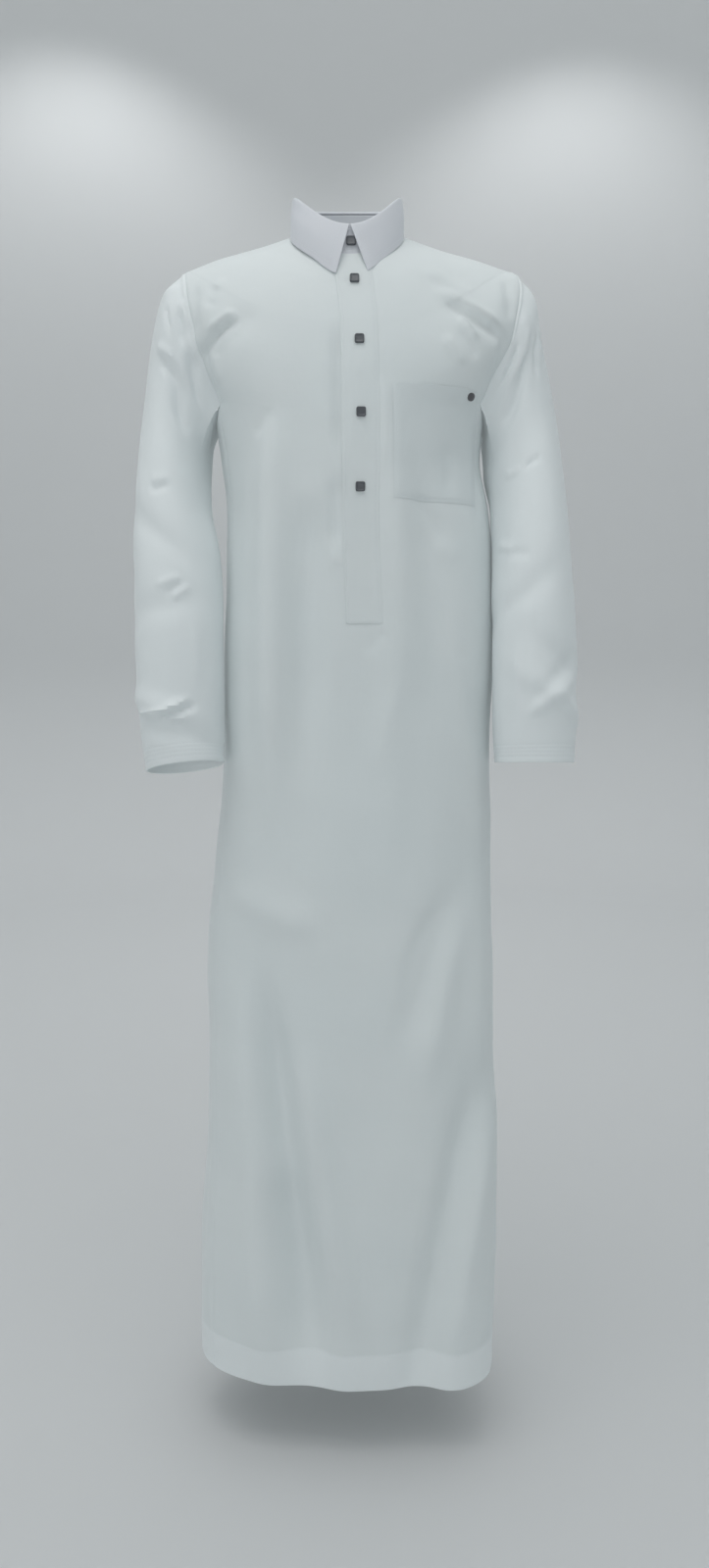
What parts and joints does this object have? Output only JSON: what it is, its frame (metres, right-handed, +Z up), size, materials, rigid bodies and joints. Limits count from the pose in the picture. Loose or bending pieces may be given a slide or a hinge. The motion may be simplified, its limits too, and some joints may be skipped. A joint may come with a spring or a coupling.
{
  "type": "thobe robe",
  "caption": "Ankle-length long-sleeved white robe with a pointed shirt collar, a half-length button placket, a chest pocket and open cuffs.",
  "frame": {"origin": "middle of the neck opening, level with the tops of the shoulder seams, where the wearer's neck and shoulders hold the robe up", "axes": "+Z up, the robe faces -Y, and +X is the wearer's left"},
  "size_m": [0.5446, 0.2638, 1.5171],
  "materials": {
    "white_cotton": "smooth plain-woven cotton blend with a soft satin sheen",
    "collar_cotton": "the same cloth, pressed and interlined, slightly cooler",
    "button_grey": "dark grey, square, softly polished",
    "dark_metal": "plain dark stud"
  },
  "bodies": {
    "root": {"front": "white_cotton", "back": "white_cotton", "side_panel_left": "white_cotton", "side_panel_right": "white_cotton", "sleeve_left": "white_cotton", "sleeve_right": "white_cotton", "placket": "white_cotton", "chest_pocket": "white_cotton", "collar_stand": "collar_cotton", "collar_leaf": "collar_cotton", "button_1": "button_grey", "button_2": "button_grey", "button_3": "button_grey", "button_4": "button_grey", "button_5": "button_grey", "pocket_stud": "dark_metal"}
  },
  "joints": []
}
